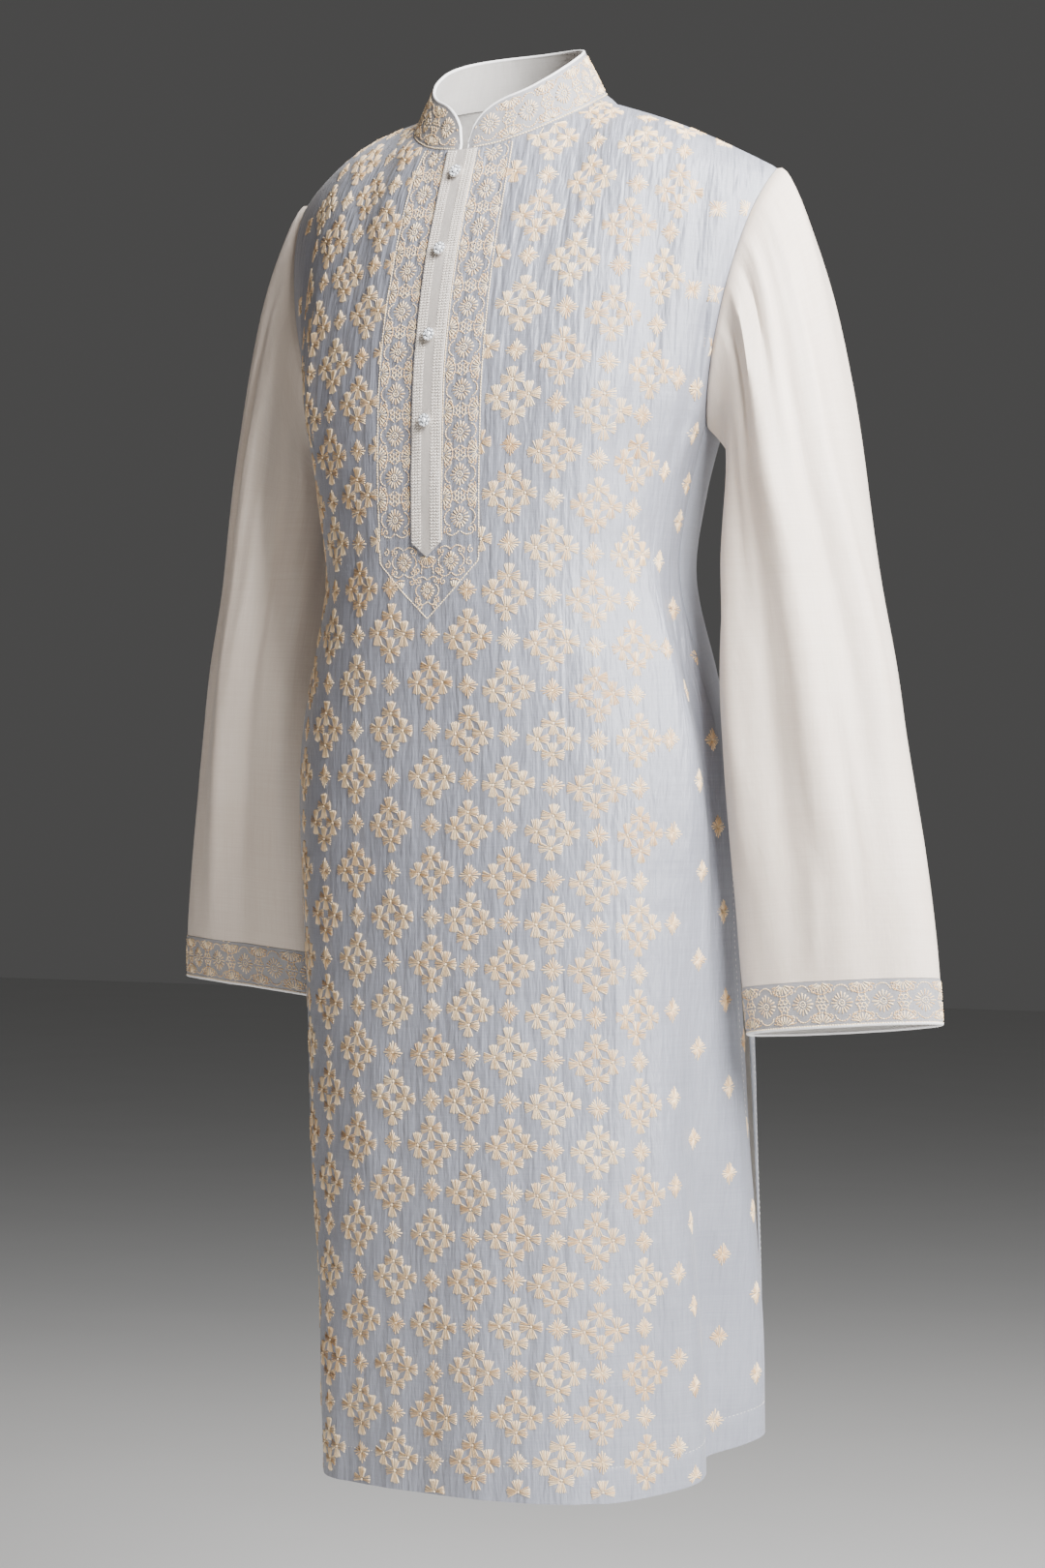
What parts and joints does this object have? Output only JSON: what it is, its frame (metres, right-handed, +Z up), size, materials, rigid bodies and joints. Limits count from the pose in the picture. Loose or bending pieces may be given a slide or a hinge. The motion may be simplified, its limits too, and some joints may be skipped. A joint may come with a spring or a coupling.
{
  "type": "long kurta",
  "caption": "Long kurta with stand collar, buttoned placket, full sleeves with cuff bands and side slits, filled out as worn.",
  "frame": {"origin": "middle of the neck, level with the shoulder seams where they meet the collar, where the garment hangs from a wearer's shoulders", "axes": "+Z up, the front faces -Y, the wearer's left is +X"},
  "size_m": [0.6902, 0.3132, 1.086],
  "materials": {
    "body_cloth": "off-white cotton and silk cloth with a soft sheen, embroidered in cream thread",
    "sleeve_cloth": "plain ivory cotton and silk cloth with a soft sheen",
    "trim_cloth": "the same cloth covered by close cream embroidery",
    "placket_cloth": "plain cloth strip with rows of cream chain stitch",
    "button_stone": "clear faceted stones in a pale metal setting"
  },
  "bodies": {
    "root": {"front_panel": "body_cloth", "back_panel": "body_cloth", "sleeve_left": "sleeve_cloth", "sleeve_right": "sleeve_cloth", "cuff_left": "trim_cloth", "cuff_right": "trim_cloth", "collar": "trim_cloth", "placket": "placket_cloth", "button_1": "button_stone", "button_2": "button_stone", "button_3": "button_stone", "button_4": "button_stone"}
  },
  "joints": []
}
